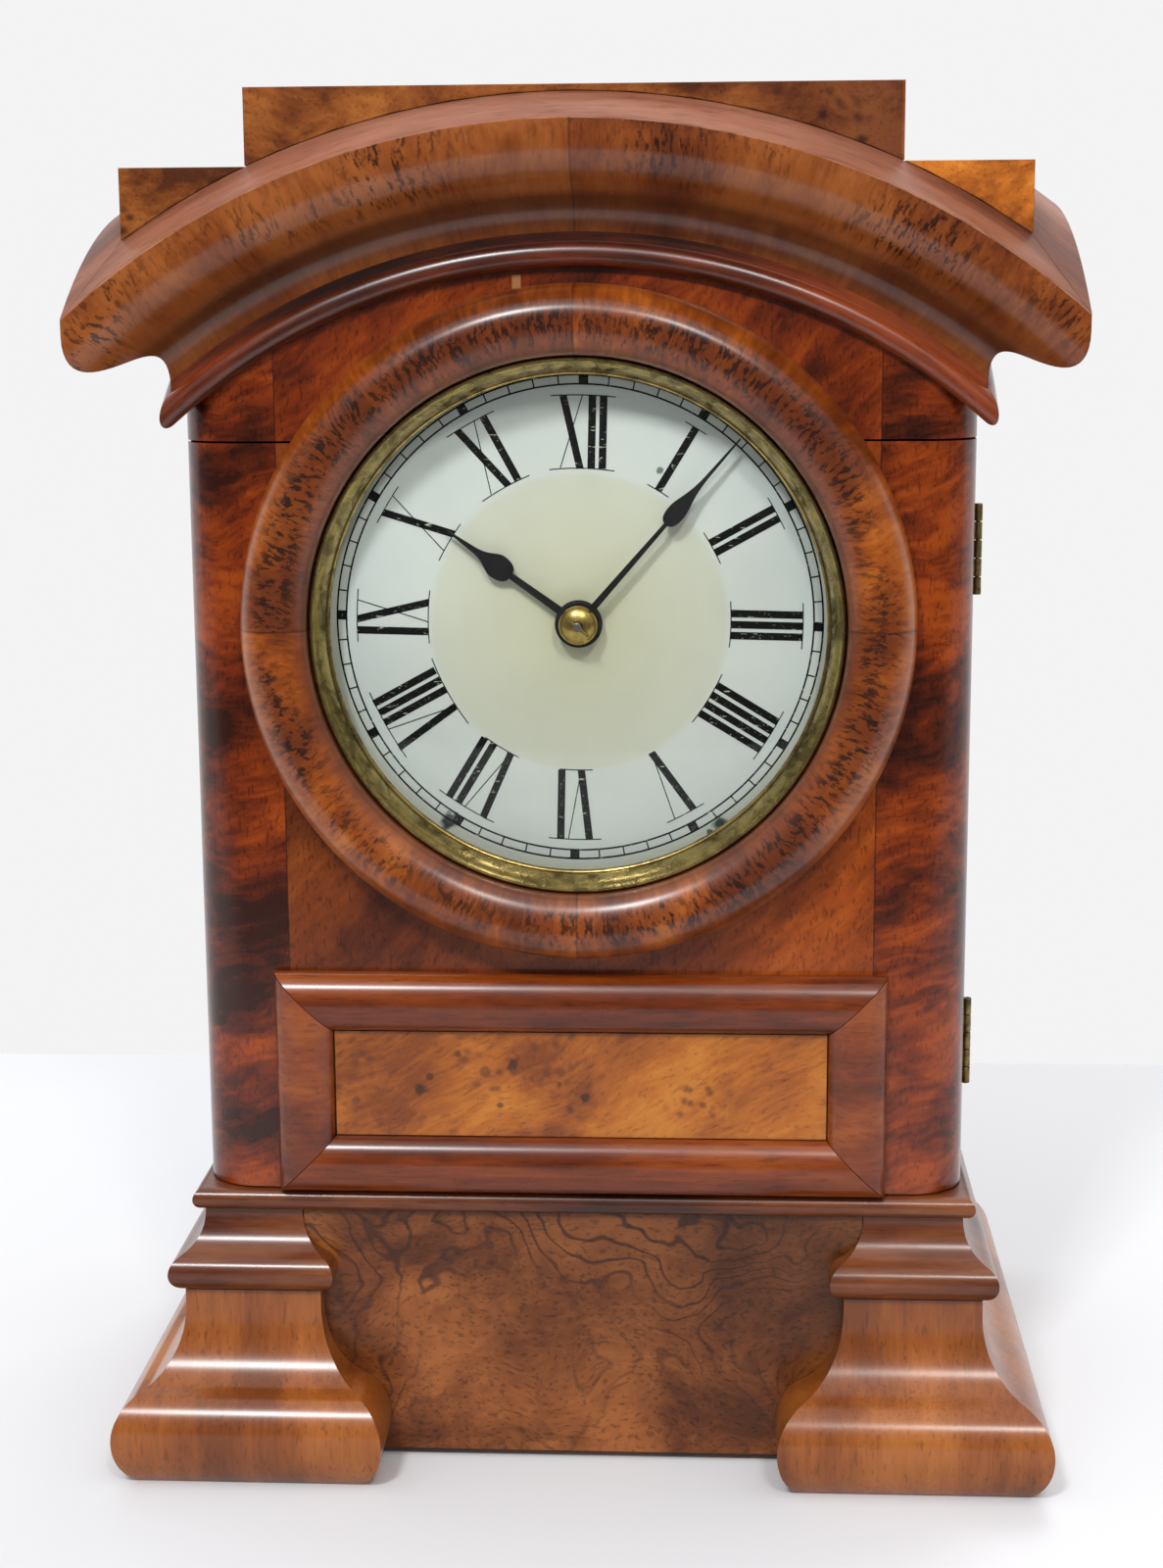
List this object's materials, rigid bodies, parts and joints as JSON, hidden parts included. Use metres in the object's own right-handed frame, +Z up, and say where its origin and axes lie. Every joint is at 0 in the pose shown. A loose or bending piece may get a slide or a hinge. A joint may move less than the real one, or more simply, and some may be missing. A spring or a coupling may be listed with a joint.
{
  "type": "bracket clock",
  "caption": "Bracket clock with an arched hood over a hinged front door with a turned ring and domed glass, a painted dial with two hands, ogee feet and a pendulum movement.",
  "frame": {"origin": "on the table, under the middle of the whole clock's box", "axes": "+Z up, +Y from the dial to the back, +X to the right as one faces the dial"},
  "size_m": [0.2758, 0.1938, 0.4001],
  "materials": {
    "walnut": "waxed dark walnut",
    "case_wood": "french-polished red-brown veneer",
    "burr": "polished orange-brown burr veneer",
    "golden_burr": "polished golden burr veneer",
    "plain_wood": "bare pine or oak",
    "brass": "lacquered, toned",
    "steel": "bright",
    "blued_steel": "blued to near black",
    "glass": "clear, domed",
    "dial_paint": "cream oil paint, satin"
  },
  "bodies": {
    "case": {"foot_left": "walnut", "foot_right": "walnut", "foot_cap_left": "walnut", "foot_cap_right": "walnut", "apron": "burr", "platform": "walnut", "side_left": "case_wood", "side_right": "case_wood", "frieze": "case_wood", "dial_board": "plain_wood", "back_rail_bottom": "plain_wood", "back_rail_top": "plain_wood", "hood_moulding_front": "burr", "hood_moulding_left": "burr", "hood_moulding_right": "burr", "crest_lower": "burr", "crest_upper": "burr", "upper_hinge_case_leaf": "brass", "lower_hinge_case_leaf": "brass", "dial": "dial_paint", "front_plate": "brass", "back_plate": "brass", "pillar_lower_left": "brass", "pillar_lower_right": "brass", "pillar_upper_left": "brass", "pillar_upper_right": "brass", "seat_board": "plain_wood", "seat_bolt_left": "steel", "seat_bolt_right": "steel", "pendulum_cock": "brass"},
    "front_door": {"door": "case_wood", "door_ring": "burr", "bezel": "brass", "glass": "glass", "panel_frame_top": "burr", "panel_frame_bottom": "burr", "panel_frame_left": "burr", "panel_frame_right": "burr", "burr_panel": "golden_burr", "upper_hinge_door_leaf": "brass", "lower_hinge_door_leaf": "brass"},
    "rear_door": {"back_door": "walnut", "back_door_knob": "brass"},
    "great_wheel": {"barrel": "brass"},
    "winding": {"winding_arbor": "steel"},
    "winding_click": {"click": "steel"},
    "intermediate_arbor": {"intermediate_wheel": "brass"},
    "centre_arbor": {"centre_wheel": "brass"},
    "third_arbor": {"third_wheel": "brass"},
    "escape_arbor": {"escape_wheel": "brass"},
    "pallets": {"anchor": "steel"},
    "pendulum": {"pendulum_rod": "steel", "bob": "brass", "rating_nut": "brass"},
    "minute_works": {"cannon_pinion": "brass", "minute_hand": "blued_steel", "hand_collet": "brass"},
    "motion_wheel": {"minute_wheel": "brass"},
    "hour_works": {"hour_wheel": "brass", "hour_hand": "blued_steel"}
  },
  "joints": [
    {"name": "front_door_hinge", "type": "hinge", "parent": "case", "child": "front_door", "pos_m": [0.11375, -0.0532, 0.195], "axis": [0, 0, 1], "range_deg": [0, 95]},
    {"name": "rear_door_pivot", "type": "hinge", "parent": "case", "child": "rear_door", "pos_m": [0.0979, 0.0842, 0.21], "axis": [0, 0, -1], "range_deg": [0, 95]},
    {"name": "minute_hand_turn", "type": "hinge", "parent": "case", "child": "minute_works", "pos_m": [0, -0.0615, 0.2525], "axis": [0, 1, 0], "continuous": true},
    {"name": "motion_wheel_turn", "type": "hinge", "parent": "case", "child": "motion_wheel", "pos_m": [0.00848, -0.0475, 0.24402], "axis": [0, 1, 0], "continuous": true},
    {"name": "hour_hand_turn", "type": "hinge", "parent": "case", "child": "hour_works", "pos_m": [0, -0.0595, 0.2525], "axis": [0, 1, 0], "continuous": true},
    {"name": "third_wheel_turn", "type": "hinge", "parent": "case", "child": "third_arbor", "pos_m": [0.00982, -0.0215, 0.27024], "axis": [0, 1, 0], "continuous": true},
    {"name": "centre_arbor_turn", "type": "hinge", "parent": "case", "child": "centre_arbor", "pos_m": [0, -0.0215, 0.2525], "axis": [0, 1, 0], "continuous": true},
    {"name": "escape_wheel_turn", "type": "hinge", "parent": "case", "child": "escape_arbor", "pos_m": [0, -0.0215, 0.2835], "axis": [0, 1, 0], "continuous": true},
    {"name": "intermediate_turn", "type": "hinge", "parent": "case", "child": "intermediate_arbor", "pos_m": [0.00123, -0.0215, 0.23013], "axis": [0, 1, 0], "continuous": true},
    {"name": "barrel_turn", "type": "hinge", "parent": "case", "child": "great_wheel", "pos_m": [-0.024, -0.0215, 0.218], "axis": [0, 1, 0], "continuous": true},
    {"name": "winding_turn", "type": "hinge", "parent": "case", "child": "winding", "pos_m": [-0.024, 0.0085, 0.218], "axis": [0, -1, 0], "range_deg": [0, 1920]},
    {"name": "click_lift", "type": "hinge", "parent": "case", "child": "winding_click", "pos_m": [-0.02634, 0.0041, 0.2313], "axis": [0, -1, 0], "range_deg": [0, 20]},
    {"name": "pendulum_swing", "type": "hinge", "parent": "case", "child": "pendulum", "pos_m": [0, 0.0145, 0.30113], "axis": [0, 1, 0], "range_deg": [-3.5, 3.5]},
    {"name": "pallet_rock", "type": "hinge", "parent": "case", "child": "pallets", "pos_m": [0, -0.0115, 0.30113], "axis": [0, 1, 0], "range_deg": [-3.5, 3.5]}
  ],
  "couplings": [
    {"joint": "motion_wheel_turn", "follows": "minute_hand_turn", "ratio": -0.33333},
    {"joint": "hour_hand_turn", "follows": "minute_hand_turn", "ratio": 0.083333},
    {"joint": "centre_arbor_turn", "follows": "third_wheel_turn", "ratio": -0.083333},
    {"joint": "escape_wheel_turn", "follows": "third_wheel_turn", "ratio": -10},
    {"joint": "intermediate_turn", "follows": "third_wheel_turn", "ratio": 0.013889},
    {"joint": "barrel_turn", "follows": "third_wheel_turn", "ratio": -0.0023148},
    {"joint": "pallet_rock", "follows": "pendulum_swing", "ratio": 1}
  ]
}
